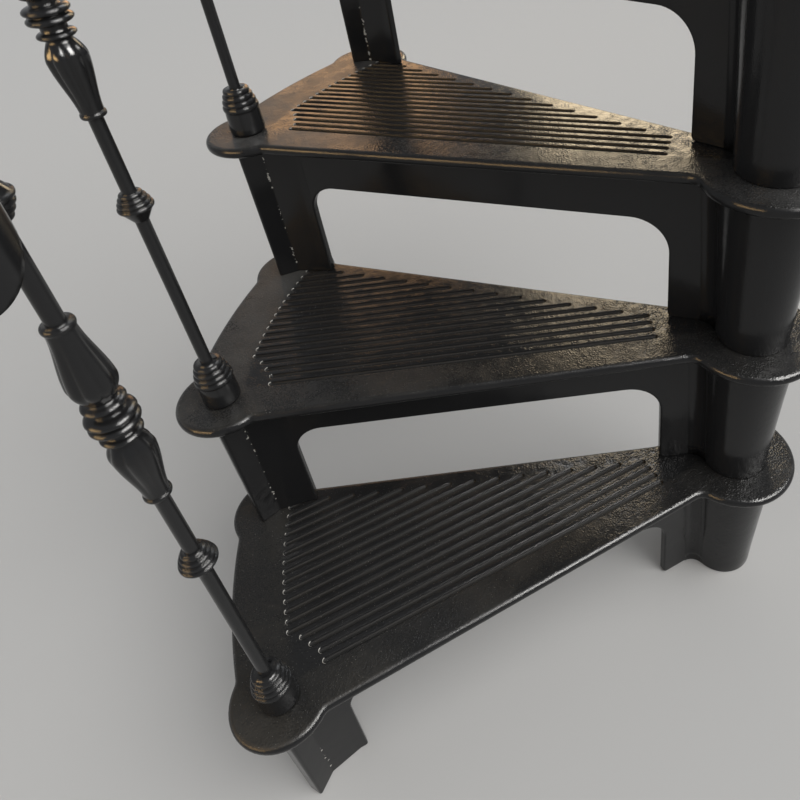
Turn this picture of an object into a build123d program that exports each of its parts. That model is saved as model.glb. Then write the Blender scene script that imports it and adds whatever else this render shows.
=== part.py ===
from build123d import *
import math
import os

# Spiral staircase of six bays in cast iron, all sizes in millimetres.
# The origin is the foot of the newel on its axis, at floor level, with +Z up.
# Bay 1 has its grooves along +X and its nosing towards +Y.
# Each next bay is one rise higher and one turn further clockwise, seen from above.

UP = (0, 0, 1)
DOWN = (0, 0, -1)

# Driving sizes of the stair
BAYS = 6
RISE = 210.0
TURN = 22.5
OUTER_R = 635.0
CLEAR = 20.0

# Tread plate, its collar at the newel and its lobes at the two outer corners
PLATE = 12.6
NOSE_R = 5.6
COLLAR_R = 74.5
FRONT_IN = (60.0, 26.0)
FRONT_SLOPE = 0.0168
BACK_Y = -28.4
LOBE_INSET = 41.0
LOBE_X = OUTER_R - LOBE_INSET
LOBE_Y = -3.0
LOBE_R = 53.0
COLLAR_FRONT_FILLET = 15.0
COLLAR_BACK_FILLET = 60.0
LOBE_FILLET = 10.0
NECK_FILLET = 16.0

# Grooves in the tread top: the rearmost ends at GROOVE_SPREAD degrees round the newel,
# and the front ones stop short of the middle of the front lobe by GROOVE_SETBACKS
GROOVES = 18
GROOVE_W = 6.0
GROOVE_DEPTH = 3.0
GROOVE_MARGIN = 59.5
GROOVE_OUTER_R = OUTER_R - GROOVE_MARGIN
GROOVE_SPREAD = 22.57
GROOVE_LAST_Y = -11.9
GROOVE_FAN = 23.0
GROOVE_INNER_X = 103.0
GROOVE_SETBACKS = (49.0, 48.0, 40.5, 33.0)

# Sleeve round the newel: radius at its foot, half way and under the plate
SLEEVE_FOOT_R = 40.0
SLEEVE_MID_R = 45.0
SLEEVE_TOP_R = 52.0
SLEEVE_FLARE = 5.0

# Newel tube inside the sleeves
POST_FIT = 0.45
POST_R = 24.15
POST_WALL = 3.2
POST_FOOT = 8.0

# Riser web and its opening, which has rounded top corners and a rounded inner foot
WEB_FRONT_Y = -7.5
WEB = 10.0
OPENING_TOP = 77.5
JAMB_IN = 97.0
JAMB_IN_FOOT = 94.0
JAMB_SETBACK = 55.0
JAMB_OUT = LOBE_X - JAMB_SETBACK
CORNER_IN = 44.0
CORNER_OUT = 35.0
CORNER_FOOT = 6.0
GUSSET = 18.0

# Leg at the outer end of the web, in plan from the middle of the front lobe, and the hollow in its back
LEG = (
    (-56.0, WEB_FRONT_Y - WEB), (-56.0, WEB_FRONT_Y), (-9.0, 2.0), (12.0, 20.0),
    (23.0, 4.0), (19.0, -25.0), (-42.0, BACK_Y),
)
LEG_NOSE = 5.0
LEG_HOLLOW = ((-32.0, -45.0), (-32.0, -17.0), (-10.0, -10.0), (5.0, -10.0), (7.0, -45.0))
LEG_TAPER = 0.7

# Baluster: rod, screwed stud and heights above the tread top
BALUSTER_X = LOBE_X - 0.5
ROD_R = 6.35
STUD_R = 5.0
STUD_LENGTH = 30.0
STUD_FIT = 0.15
RAIL_SEAT = 850.0
ORNAMENT_Z = 425.5
KNOT_Z = 236.0

# Baluster foot, as radius and height: a cup with a rounded lower edge, then a stack of shrinking beads
CUP_FOOT_R = 17.0
CUP_R = 20.3
CUP_ROUND = 4.0
CUP_TOP = 29.4
FOOT_BEAD = 6.3
FOOT_BEADS = (20.7, 19.3, 17.4, 15.1)
BEAD_GROOVE = 1.6

# Knot on the rod: a cone, then shrinking beads
KNOT_CONE = 13.0
KNOT_BEAD = 4.2
KNOT_BEADS = (16.4, 15.0, 13.0, 10.6)

# Centre ornament, from its middle outwards: height and radius, mirrored below
TORUS_R = 17.8
TORUS = 7.2
NECK_R = 10.2
COLLAR_BEAD_R = 15.1
COLLAR_BEAD = 5.6
COLLAR_BEAD_Z = 12.6
VASE_NECK_Z = 20.0
VASE_Z = 35.0
VASE_R = 16.6
VASE_END_Z = 81.0
VASE_END_R = 9.6
END_BEAD = 4.5
END_BEAD_R = 10.8

# Handrail: width, height at the middle and at the sides, depth of the baluster's hole,
# and how far it runs past the first baluster, in plan along the balusters' circle
RAIL_W = 42.0
RAIL_H = 24.0
RAIL_SIDE = 13.0
RAIL_HOLE = 9.0
RAIL_LEAD = 225.0


def in_bay(k, shape):
    """Move a shape from its place round the newel at height 0 to bay k, counted from 1."""
    return Pos(0, 0, k * RISE) * Rot(0, 0, -(k - 1) * TURN) * shape


def turned(point, angle):
    """Turn a plan point about the newel axis."""
    a = math.radians(angle)
    x, y = point
    return (x * math.cos(a) - y * math.sin(a), x * math.sin(a) + y * math.cos(a))


def circles_meet(c, r, side):
    """Plan point where the outer arc meets a lobe circle, on the +1 or -1 side of it."""
    d = math.hypot(*c)
    along = (OUTER_R ** 2 - r ** 2 + d ** 2) / (2 * d)
    across = math.sqrt(OUTER_R ** 2 - along ** 2)
    ux, uy = c[0] / d, c[1] / d
    return (along * ux - side * across * uy, along * uy + side * across * ux)


def round_near(face, point, radius):
    """Round the corner of a flat outline that lies nearest to a point."""
    corner = min(face.vertices(), key=lambda v: math.hypot(v.X - point[0], v.Y - point[1]))
    return fillet(corner, radius)


def front_y(x):
    """Front edge of the plate."""
    return FRONT_IN[1] + FRONT_SLOPE * (x - FRONT_IN[0])


def front_meets(cx, cy, r, side):
    """Where the front edge meets a circle, on the outer (+1) or inner (-1) side."""
    m = FRONT_SLOPE
    b = front_y(0) - cy
    qa = 1 + m * m
    qb = 2 * (m * b - cx)
    qc = cx * cx + b * b - r * r
    x = (-qb + side * math.sqrt(qb * qb - 4 * qa * qc)) / (2 * qa)
    return (x, front_y(x))


def plate_outline():
    """Plan of the tread: tapered leaf, collar at the newel and a lobe at each outer corner."""
    lobe = (LOBE_X, LOBE_Y)
    front_in = front_meets(0, 0, COLLAR_R, 1)
    front_out = front_meets(LOBE_X, LOBE_Y, LOBE_R, -1)
    neck_front = circles_meet(lobe, LOBE_R, -1)
    neck_back = turned(circles_meet(lobe, LOBE_R, 1), -TURN)
    reach = math.sqrt(LOBE_R ** 2 - (BACK_Y - LOBE_Y) ** 2)
    back_out = turned((LOBE_X - reach, BACK_Y), -TURN)
    back_in = turned((math.sqrt(COLLAR_R ** 2 - BACK_Y ** 2), BACK_Y), -TURN)
    lobe_tip = (LOBE_X + LOBE_R * 0.7071, LOBE_Y + LOBE_R * 0.7071)
    back_tip = turned((LOBE_X + LOBE_R * 0.7071, LOBE_Y - LOBE_R * 0.7071), -TURN)
    edges = [
        Line(front_in, front_out),
        ThreePointArc(front_out, lobe_tip, neck_front),
        ThreePointArc(neck_front, turned((OUTER_R, 0), -TURN / 2), neck_back),
        ThreePointArc(neck_back, back_tip, back_out),
        Line(back_out, back_in),
        ThreePointArc(back_in, (-COLLAR_R, 0), front_in),
    ]
    outline = make_face(edges)
    rounds = (
        (front_in, COLLAR_FRONT_FILLET), (back_in, COLLAR_BACK_FILLET),
        (front_out, LOBE_FILLET), (back_out, LOBE_FILLET),
        (neck_front, NECK_FILLET), (neck_back, NECK_FILLET),
    )
    for point, radius in rounds:
        outline = round_near(outline, point, radius)
    return outline


def groove_plan():
    """All grooves of one tread, as round-ended slots, from the front one to the rearmost."""
    rear_y = -GROOVE_OUTER_R * math.sin(math.radians(GROOVE_SPREAD))
    pitch = (GROOVE_LAST_Y - rear_y) / (GROOVES - 1)
    step = pitch / math.tan(math.radians(GROOVE_FAN))
    level = len(GROOVE_SETBACKS)
    slots = []
    for j in range(GROOVES):
        y = GROOVE_LAST_Y - j * pitch
        x_in = GROOVE_INNER_X + step * max(0, j + 1 - level)
        if j < level:
            x_out = LOBE_X - GROOVE_SETBACKS[j]
        else:
            x_out = math.sqrt(GROOVE_OUTER_R ** 2 - y * y)
        slots.append(Pos((x_in + x_out) / 2, y) * SlotOverall(x_out - x_in, GROOVE_W))
    return slots


def build_plate():
    """Grooved plate with a rounded edge, its top at height 0."""
    slab = extrude(plate_outline(), PLATE, dir=DOWN)
    slab = fillet(slab.faces().sort_by(Axis.Z)[-1].edges(), NOSE_R)
    slab = fillet(slab.faces().sort_by(Axis.Z)[0].edges(), NOSE_R)
    for slot in groove_plan():
        slab -= extrude(slot, GROOVE_DEPTH, dir=DOWN)
    return slab


def build_sleeve():
    """Tapered sleeve that stands on the collar below."""
    foot = (SLEEVE_FOOT_R, -RISE)
    top = (SLEEVE_TOP_R, -PLATE - SLEEVE_FLARE)
    edges = [
        Line((0, -RISE), foot),
        ThreePointArc(foot, (SLEEVE_MID_R, -RISE / 2), top),
        Line(top, (SLEEVE_TOP_R + SLEEVE_FLARE, -PLATE)),
        Line((SLEEVE_TOP_R + SLEEVE_FLARE, -PLATE), (0, -PLATE)),
        Line((0, -PLATE), (0, -RISE)),
    ]
    return revolve(Plane.XZ * make_face(edges), Axis.Z)


def build_web():
    """Upright riser web, open from the tread below to OPENING_TOP under this tread's top."""
    x_end = LOBE_X + LEG[2][0] - CLEAR
    x_start = SLEEVE_FOOT_R / 2
    panel = Polygon((x_start, -RISE), (x_end, -RISE), (x_end, -PLATE), (x_start, -PLATE), align=None)
    opening = Polygon(
        (JAMB_IN_FOOT, -RISE), (JAMB_OUT, -RISE),
        (JAMB_OUT, -OPENING_TOP), (JAMB_IN, -OPENING_TOP), align=None,
    )
    for x, z, radius in ((JAMB_IN, -OPENING_TOP, CORNER_IN), (JAMB_OUT, -OPENING_TOP, CORNER_OUT)):
        opening = round_near(opening, (x, z), radius)
    panel = round_near(panel - opening, (JAMB_IN_FOOT, -RISE), CORNER_FOOT)
    web = extrude(Plane.XZ * panel, WEB, dir=(0, -1, 0))
    web = Pos(0, WEB_FRONT_Y, 0) * web
    root = math.sqrt(SLEEVE_FOOT_R ** 2 - WEB_FRONT_Y ** 2)
    gusset = Polygon(
        (0, WEB_FRONT_Y), (root + GUSSET, WEB_FRONT_Y), (root - 1, WEB_FRONT_Y + GUSSET), align=None,
    )
    rise = RISE - PLATE
    return web + extrude(Pos(0, 0, -RISE) * gusset, rise, dir=UP)


def build_leg():
    """Hollow-backed leg that stands on the back lobe of the tread below."""
    height = RISE - PLATE
    plan = Polygon(*[(LOBE_X + x, y) for x, y in LEG], align=None)
    plan = round_near(plan, (LOBE_X + LEG[3][0], LEG[3][1]), LEG_NOSE)
    leg = extrude(Pos(0, 0, -PLATE) * plan, height, dir=DOWN, taper=LEG_TAPER)
    hollow = Polygon(*[(LOBE_X + x, y) for x, y in LEG_HOLLOW], align=None)
    return leg - extrude(Pos(0, 0, -2 * PLATE) * hollow, height, dir=DOWN)


def build_tread():
    """One tread casting, its top at height 0."""
    tread = build_plate() + build_sleeve() + build_web() + build_leg()
    tread -= Pos(0, 0, -RISE / 2) * Cylinder(POST_R + POST_FIT, RISE + CLEAR)
    hole = Cylinder(STUD_R + STUD_FIT, STUD_LENGTH + 4 * STUD_FIT)
    return tread - Pos(BALUSTER_X, 0, -STUD_LENGTH / 2) * hole


def beads(start, radii, step):
    """Points of a stack of beads from a start point: each bead swells to its own radius."""
    r, z = start
    points = []
    for i, crest in enumerate(radii):
        valley = crest - BEAD_GROOVE
        if abs(valley - r) > 0.01:
            points.append((valley, z))
        z += step
        points.append((valley, z, crest))
        r = valley
    return points


def knot(z, up):
    """Points of a knot that starts on the rod at height z and grows upwards (1) or downwards (-1)."""
    base = (KNOT_BEADS[0] - BEAD_GROOVE, z + up * KNOT_CONE)
    stack = beads(base, KNOT_BEADS, up * KNOT_BEAD)
    end = (ROD_R, stack[-1][1])
    return [(ROD_R, z), base] + stack + [end]


def back_to_front(points):
    """The same outline walked the other way, with its beads kept."""
    walked = [points[-1][:2]]
    for here, before in zip(points[:0:-1], points[-2::-1]):
        walked.append(before[:2] + here[2:])
    return walked


def half_ornament():
    """Centre ornament from its middle upwards, as heights above the middle."""
    vase_mid_z = (VASE_Z + VASE_END_Z) / 2
    vase_mid_r = VASE_END_R + 0.55 * (VASE_R - VASE_END_R)
    return [
        (NECK_R + 1, 0), (NECK_R + 1, TORUS, TORUS_R), (NECK_R, TORUS + 1),
        (NECK_R, COLLAR_BEAD_Z), (NECK_R + 0.5, COLLAR_BEAD_Z + COLLAR_BEAD, COLLAR_BEAD_R),
        (NECK_R, VASE_NECK_Z), (VASE_R - 1.5, VASE_Z - 6), (VASE_R, VASE_Z), (vase_mid_r, vase_mid_z),
        (VASE_END_R, VASE_END_Z), (VASE_END_R, VASE_END_Z + END_BEAD, END_BEAD_R),
        (ROD_R, VASE_END_Z + END_BEAD),
    ]


def baluster_outline():
    """Right half of the baluster's outline, from the end of its stud to the end in the handrail."""
    cup = [(CUP_FOOT_R, 0), (CUP_R, CUP_ROUND), (CUP_R - 1, CUP_TOP)]
    foot = beads(cup[-1], FOOT_BEADS, FOOT_BEAD)
    upper = [(p[0], ORNAMENT_Z + p[1]) + p[2:] for p in half_ornament()]
    lower = back_to_front([(p[0], ORNAMENT_Z - p[1]) + p[2:] for p in half_ornament()])
    top = RAIL_SEAT + RAIL_HOLE
    return (
        [(0, -STUD_LENGTH), (STUD_R, -STUD_LENGTH), (STUD_R, 0)] + cup + foot + [(ROD_R, foot[-1][1])]
        + knot(KNOT_Z, 1) + lower + upper[1:] + back_to_front(knot(2 * ORNAMENT_Z - KNOT_Z, -1))
        + [(ROD_R, top), (0, top), (0, -STUD_LENGTH)]
    )


def build_baluster():
    """Turned baluster on its own axis, standing on height 0."""
    points = baluster_outline()
    edges = []
    for here, there in zip(points, points[1:]):
        if len(there) == 3:
            low = (there[2], here[1] + 0.3 * (there[1] - here[1]))
            high = (there[2], there[1] - 0.3 * (there[1] - here[1]))
            edges += [Line(here[:2], low), Line(low, high), Line(high, there[:2])]
        else:
            edges.append(Line(here[:2], there[:2]))
    return revolve(Plane.XZ * make_face(edges), Axis.Z)


def rail_run(before, after):
    """Handrail from before to after baluster 1, in bays, with its underside at RAIL_SEAT there."""
    bays = before + after
    path = Helix(pitch=RISE * 360 / TURN, height=RISE * bays, radius=BALUSTER_X, lefthand=True)
    start = Plane(origin=path @ 0, z_dir=path % 0, x_dir=(1, 0, 0))
    side = RAIL_W / 2
    section = make_face([
        Line((-side, 0), (side, 0)),
        Line((side, 0), (side, RAIL_SIDE)),
        ThreePointArc((side, RAIL_SIDE), (0, RAIL_H), (-side, RAIL_SIDE)),
        Line((-side, RAIL_SIDE), (-side, 0)),
    ])
    if start.y_dir.Z < 0:
        section = Rot(180, 0, 0) * section
    rail = sweep(start * section, path=path, is_frenet=True)
    lift = RAIL_SEAT + ROD_R - RISE * before
    return Pos(0, 0, lift) * Rot(0, 0, TURN * before) * rail


def rounded_end(angle):
    """What is cut off the end of the rail at a plan angle to leave it half round."""
    side = RAIL_W / 2
    block = Pos(0, side) * Rectangle(2 * RAIL_W, RAIL_W) - Circle(side)
    block = Pos(*turned((BALUSTER_X, 0), angle)) * Rot(0, 0, angle) * Pos(0, -side) * block
    return extrude(block, 2 * RAIL_SEAT, both=True)


def build_rail(first):
    """Handrail length that sits on one baluster, with a rounded end on the first."""
    lead = math.degrees(RAIL_LEAD / BALUSTER_X)
    rail = rail_run(lead / TURN if first else 0.5, 0.5)
    if first:
        rail -= rounded_end(lead)
    depth = CLEAR + RAIL_HOLE + 1
    hole = Pos(BALUSTER_X, 0, RAIL_SEAT - CLEAR + depth / 2) * Cylinder(ROD_R + STUD_FIT, depth)
    return rail - hole


def build_post():
    """Newel tube that the sleeves are threaded on, closed at its foot."""
    height = BAYS * RISE
    tube = Pos(0, 0, height / 2) * Cylinder(POST_R, height)
    return tube - Pos(0, 0, height / 2 + POST_FOOT) * Cylinder(POST_R - POST_WALL, height)


def main():
    os.makedirs("parts", exist_ok=True)
    tread = build_tread()
    baluster = Pos(BALUSTER_X, 0, 0) * build_baluster()
    rail = build_rail(first=False)
    for k in range(1, BAYS + 1):
        export_step(in_bay(k, tread), f"parts/tread_{k}.step")
        export_step(in_bay(k, baluster), f"parts/baluster_{k}.step")
        length = build_rail(first=True) if k == 1 else rail
        export_step(in_bay(k, length), f"parts/handrail_{k}.step")
    export_step(build_post(), "parts/newel_tube.step")


if __name__ == "__main__":
    main()
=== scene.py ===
import math

import bmesh
import bpy
import numpy as np
from bpy.props import FloatProperty, FloatVectorProperty, IntProperty, PointerProperty
from mathutils import Matrix, Vector


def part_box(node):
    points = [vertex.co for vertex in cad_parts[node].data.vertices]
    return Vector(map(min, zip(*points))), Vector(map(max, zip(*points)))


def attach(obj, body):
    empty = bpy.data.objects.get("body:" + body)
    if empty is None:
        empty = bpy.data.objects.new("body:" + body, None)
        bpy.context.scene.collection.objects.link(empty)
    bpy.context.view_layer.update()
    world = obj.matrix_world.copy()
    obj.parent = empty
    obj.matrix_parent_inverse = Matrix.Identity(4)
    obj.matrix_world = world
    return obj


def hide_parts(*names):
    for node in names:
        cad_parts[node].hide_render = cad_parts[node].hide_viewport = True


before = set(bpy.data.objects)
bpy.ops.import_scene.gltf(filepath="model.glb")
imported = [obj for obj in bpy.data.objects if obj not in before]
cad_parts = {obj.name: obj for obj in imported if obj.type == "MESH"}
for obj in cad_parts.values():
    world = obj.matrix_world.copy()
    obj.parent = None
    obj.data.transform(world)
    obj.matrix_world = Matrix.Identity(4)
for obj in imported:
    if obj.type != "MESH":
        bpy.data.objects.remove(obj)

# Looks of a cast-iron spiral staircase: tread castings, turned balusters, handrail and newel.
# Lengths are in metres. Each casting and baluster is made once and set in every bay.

bl_info = {
    "name": "Spiral Staircase",
    "version": (1, 0, 0),
    "blender": (4, 5, 0),
    "location": "View3D > Sidebar > Staircase",
    "description": "Cast treads, turned balusters and a handrail in gloss black paint",
    "category": "Add Mesh",
}

# What the frame says: the number of bays, the rise and the box of the whole stair
BAYS = sum(name.startswith("tread_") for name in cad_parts)
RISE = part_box("tread_2")[1].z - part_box("tread_1")[1].z
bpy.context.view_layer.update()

# Camera that matches the photograph, with the picture's side in pixels
PICTURE = 800
CAMERA_PLACE = (0.48, 0.4352, 0.9895)
CAMERA_HEADING = 156.84
CAMERA_TILT = -35.88
CAMERA_ROLL = -6.55
CAMERA_FOCUS = 725.0
CAMERA_AXIS = (499.85, 256.3)
CAMERA_NEAR = 0.02
SENSOR = 36.0

# Roundings of cast edges, the widest step round an arc, and the bore round the newel tube
QUARTER_STEPS = 6
HOLE_ROUND = 0.0008
FOOT_ROUND = 0.001
FILLET_STEP = math.radians(7)
FEWEST_STEPS = 2
BORE_R = 0.0246
BORE_SEGMENTS = 72


def size(name, description, default):
    """Length property with a name, a description and a default in metres."""
    return FloatProperty(
        name=name, description=description, default=default, min=0.0, precision=4, unit="LENGTH",
    )


def share(name, description, default):
    """Property between 0 and 1."""
    return FloatProperty(
        name=name, description=description, default=default, min=0.0, max=1.0, subtype="FACTOR",
    )


def angle(name, description, default):
    """Angle property, its default given in degrees."""
    return FloatProperty(
        name=name, description=description, default=math.radians(default), subtype="ANGLE",
    )


def level(name, description, default):
    """Strength of a light."""
    return FloatProperty(name=name, description=description, default=default, min=0.0)


def tint(name, description, default):
    """Colour property."""
    return FloatVectorProperty(
        name=name, description=description, default=default,
        size=3, min=0.0, max=1.0, subtype="COLOR",
    )


class TreadSizes(bpy.types.PropertyGroup):
    """Sizes of one tread casting."""

    turn: angle("Turn", "Angle from one tread to the next", 22.5)
    outer_radius: size("Outer radius", "Radius of the treads' outer edge", 0.635)
    thickness: size("Thickness", "Thickness of the tread plate", 0.0126)
    nose: size("Nosing radius", "Rounding of the plate's edge, above and below", 0.0056)
    collar_radius: size("Collar radius", "Plate's round end at the newel", 0.0745)
    lobe_inset: size("Lobe inset", "Middle of a lobe inside the outer radius", 0.041)
    lobe_radius: size("Lobe radius", "Round corner that carries a baluster", 0.053)
    groove_width: size("Groove width", "Width of a groove in the tread", 0.006)
    groove_depth: size("Groove depth", "Depth of a groove in the tread", 0.003)
    web: size("Web thickness", "Thickness of the riser web", 0.010)
    opening_top: size("Opening top", "Web left above the riser opening, with the plate", 0.0775)


class BalusterSizes(bpy.types.PropertyGroup):
    """Sizes of one turned baluster."""

    rod: size("Rod radius", "Radius of the plain rod", 0.00635)
    rail_seat: size("Rail height", "Rail's underside above the tread, at the baluster", 0.850)
    ornament: size("Ornament height", "Middle of the centre ornament above the tread", 0.4255)
    knot: size("Knot height", "Start of the lower knot above the tread", 0.236)
    lobes: IntProperty(name="Lobes", description="Lobes round each vase", default=8, min=3, max=16)
    lobe_depth: size("Lobe depth", "How deep the furrows between the lobes are", 0.0018)


class PaintLook(bpy.types.PropertyGroup):
    """Colours and gloss of the painted iron."""

    paint: tint("Paint", "Gloss black paint", (0.018, 0.018, 0.0185))
    dust: tint("Dust", "Film of dust and shoe dirt on the treads", (0.023, 0.021, 0.017))
    # Painted sheen: the paler colour the dust film is given where it is seen at a low angle
    sheen: tint("Dust haze", "The same film seen at a low angle", (0.115, 0.113, 0.108))
    # Dirt and painted shade: the dark colour that grooves and furrows take on with depth
    grime_and_shade: tint("Grime and shade", "Dull dirt down in the grooves", (0.004, 0.0038, 0.0034))
    # Worn paint and painted glints: the pale colour of chips, and of glints at groove ends and
    # along the leg's valley
    bare_and_glint: tint("Worn and glint", "Where the paint is chipped or rubbed through", (0.55, 0.53, 0.48))
    gloss: share("Roughness", "Roughness of clean paint", 0.15)
    dull: share("Dull roughness", "Roughness under the dust film", 0.62)


class StageLook(bpy.types.PropertyGroup):
    """Floor and light."""

    floor: tint("Floor", "Colour of the plain floor", (0.62, 0.61, 0.59))
    sun: level("Sun", "Strength of the soft main light", 1.5)
    sky: level("Sky", "Strength of the even light from all sides", 0.4)
    backdrop: level("Backdrop", "Brightness of the plain backdrop as seen", 0.42)
    panels: level("Panels", "Brightness of the soft boxes", 1.0)


def unit(vector):
    """Vector of length one."""
    return vector / np.linalg.norm(vector)


def turned(point, by):
    """Plan point turned about the newel."""
    c, s = math.cos(by), math.sin(by)
    return np.array((c * point[0] - s * point[1], s * point[0] + c * point[1]))


def arc(centre, radius, start, end, spacing, bulge=1):
    """Points and outward normals on an arc, its last point left out; bulge is -1 in a hollow."""
    sweep = abs(end - start)
    by_length, by_angle = math.ceil(sweep * radius / spacing), math.ceil(sweep / FILLET_STEP)
    steps = max(FEWEST_STEPS, by_length, by_angle)
    angles = np.linspace(start, end, steps, endpoint=False)
    out = np.c_[np.cos(angles), np.sin(angles)]
    return np.asarray(centre) + radius * out, bulge * out


def run(start, end, spacing):
    """Points and outward normals on a straight edge, metal on its left, its end left out."""
    start, end = np.asarray(start), np.asarray(end)
    along = end - start
    steps = max(1, math.ceil(np.linalg.norm(along) / spacing))
    shares = np.linspace(0, 1, steps, endpoint=False)[:, None]
    across = unit(np.array((along[1], -along[0])))
    return start + shares * along, np.repeat(across[None, :], steps, 0)


def join(pieces):
    """One outline from its pieces."""
    return np.vstack([p for p, _ in pieces]), np.vstack([n for _, n in pieces])


def rounded_polygon(corners, spacing):
    """Outline of a polygon walked anticlockwise, each corner given as x, y and its radius."""
    count = len(corners)
    plan = [np.array(c[:2]) for c in corners]
    starts, ends, pieces = [], [], []
    for i, (_, _, radius) in enumerate(corners):
        before = unit(plan[i] - plan[i - 1])
        after = unit(plan[(i + 1) % count] - plan[i])
        turn = math.atan2(before[0] * after[1] - before[1] * after[0], before @ after)
        reach = radius * math.tan(abs(turn) / 2)
        starts.append(plan[i] - reach * before)
        ends.append(plan[i] + reach * after)
        side = math.copysign(1, turn)
        centre = starts[i] + side * radius * np.array((-before[1], before[0]))
        first = math.atan2(*(starts[i] - centre)[::-1])
        pieces.append(arc(centre, radius, first, first + turn, spacing, side))
    outline = []
    for i in range(count):
        outline += [pieces[i], run(ends[i], starts[(i + 1) % count], spacing)]
    return join(outline)


class Circle:
    """Round edge of a plan, with the metal inside it."""

    def __init__(self, centre, radius):
        self.centre, self.radius = np.array(centre, float), radius

    def touch(self, point, radius):
        """Where a fillet of any radius round that point touches this edge."""
        return self.centre + unit(point - self.centre) * self.radius

    def piece(self, start, end, spacing):
        """This edge, anticlockwise between two of its points."""
        first, last = (math.atan2(*(p - self.centre)[::-1]) for p in (start, end))
        if last < first:
            last += 2 * math.pi
        return arc(self.centre, self.radius, first, last, spacing)


class Edge:
    """Straight edge of a plan, with the metal on its left."""

    def __init__(self, start, end):
        self.start = np.array(start, float)
        self.way = unit(np.array(end, float) - self.start)
        self.out = np.array((self.way[1], -self.way[0]))

    def touch(self, point, radius):
        """Where a fillet of a radius round that point touches this edge."""
        return point - radius * self.out

    def piece(self, start, end, spacing):
        """This edge between two of its points."""
        return run(start, end, spacing)


def fillet_centre(one, two, radius, near):
    """Middle of a fillet outside the metal that touches two edges, nearest to a point."""
    if isinstance(two, Edge):
        one, two = two, one
    around = two.radius + radius
    if isinstance(one, Edge):
        start = one.start + radius * one.out
        foot = start + ((two.centre - start) @ one.way) * one.way
        along = one.way
        half = math.sqrt(around ** 2 - np.sum((two.centre - foot) ** 2))
    else:
        gap = two.centre - one.centre
        apart = np.linalg.norm(gap)
        reach = ((one.radius + radius) ** 2 - around ** 2 + apart ** 2) / (2 * apart)
        foot = one.centre + reach * gap / apart
        along = np.array((-gap[1], gap[0])) / apart
        half = math.sqrt((one.radius + radius) ** 2 - reach ** 2)
    both = (foot + half * along, foot - half * along)
    return min(both, key=lambda p: np.linalg.norm(p - near))


def filleted(edges, fillets, spacing):
    """Outline from touching edges, with a fillet (radius, rough place) after each of them."""
    joints = []
    for i, (radius, near) in enumerate(fillets):
        before, after = edges[i], edges[(i + 1) % len(edges)]
        centre = fillet_centre(before, after, radius, near)
        joints.append((centre, radius, before.touch(centre, radius), after.touch(centre, radius)))
    pieces = []
    for i, edge in enumerate(edges):
        centre, radius, start, end = joints[i]
        pieces.append(edge.piece(joints[i - 1][3], start, spacing))
        first, last = (math.atan2(*(p - centre)[::-1]) for p in (start, end))
        if last > first:
            last -= 2 * math.pi
        pieces.append(arc(centre, radius, first, last, spacing, -1))
    return join(pieces)


class Shell:
    """Points, faces and marks of a mesh while it is put together."""

    def __init__(self):
        self.points, self.faces, self.fills = [], [], []
        self.worn, self.sunk = [], []

    def ring(self, points, worn=0.0, sunk=0.0):
        """Add points and return their numbers; worn, for chips and painted glints, and sunk are
        marks the paint reads.
        """
        first = len(self.points)
        points = [tuple(p) for p in points]
        self.points += points
        for marks, value in ((self.worn, worn), (self.sunk, sunk)):
            marks += list(value) if np.ndim(value) else [value] * len(points)
        return list(range(first, len(self.points)))

    def stack(self, rings):
        """Faces between each ring and the next, all of as many points."""
        for upper, lower in zip(rings, rings[1:]):
            for i in range(len(upper)):
                after = (i + 1) % len(upper)
                self.faces.append((upper[i], lower[i], lower[after], upper[after]))

    def lid(self, *rings):
        """Flat face inside the first ring, with the other rings as holes."""
        if len(rings) == 1:
            self.faces.append(tuple(rings[0]))
        else:
            self.fills.append(rings)

    def close(self, rings):
        """Closed body from its rings, with a lid at each end."""
        self.stack(rings)
        self.lid(rings[0])
        self.lid(rings[-1])

    def mesh(self, name):
        """Mesh of everything added, smooth, with its marks as attributes."""
        made = bpy.data.meshes.new(name)
        made.from_pydata(self.points, [], self.faces)
        for label, marks in (("worn", self.worn), ("sunk", self.sunk)):
            made.attributes.new(label, "FLOAT", "POINT").data.foreach_set("value", marks)
        work = bmesh.new()
        work.from_mesh(made)
        work.verts.ensure_lookup_table()
        for rings in self.fills:
            edges = []
            for ring in rings:
                for i, number in enumerate(ring):
                    pair = (work.verts[ring[i - 1]], work.verts[number])
                    edges.append(work.edges.get(pair) or work.edges.new(pair))
            bmesh.ops.triangle_fill(work, use_beauty=True, use_dissolve=False, edges=edges)
        bmesh.ops.recalc_face_normals(work, faces=work.faces)
        for face in work.faces:
            face.smooth = True
        work.to_mesh(made)
        work.free()
        made.update()
        return made


def quarter(radius):
    """Rounding of an edge as pairs of inset and drop, from the flat to the side."""
    steps = [math.pi / 2 * i / QUARTER_STEPS for i in range(QUARTER_STEPS + 1)]
    return [(radius * (1 - math.sin(a)), radius * (1 - math.cos(a))) for a in steps]


def slab_rings(shell, outline, thickness, rounding, place, worn=0.0, taper=0.0):
    """Rings down the side of a slab with rounded edges; place gives a point from plan and depth."""
    points, normals = outline
    profile = quarter(rounding)
    profile += [(inset, thickness - drop) for inset, drop in reversed(profile)]
    rings = []
    for inset, depth in profile:
        ring = points - (inset + taper * depth) * normals
        rings.append(shell.ring([place(p, depth) for p in ring], worn))
    return rings


def slab(shell, outline, thickness, rounding, place, worn=0.0, taper=0.0):
    """Closed slab with rounded edges."""
    shell.close(slab_rings(shell, outline, thickness, rounding, place, worn, taper))


def circle_points(radius, height, segments):
    """Level circle round the newel."""
    angles = np.linspace(0, 2 * math.pi, segments, endpoint=False)
    return [(radius * math.cos(a), radius * math.sin(a), height) for a in angles]


def revolve(shell, profile, segments):
    """Closed ring-shaped body from an outline of (radius, height) points."""
    rings = [shell.ring(circle_points(r, z, segments)) for r, z in profile]
    shell.stack(rings + rings[:1])


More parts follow.
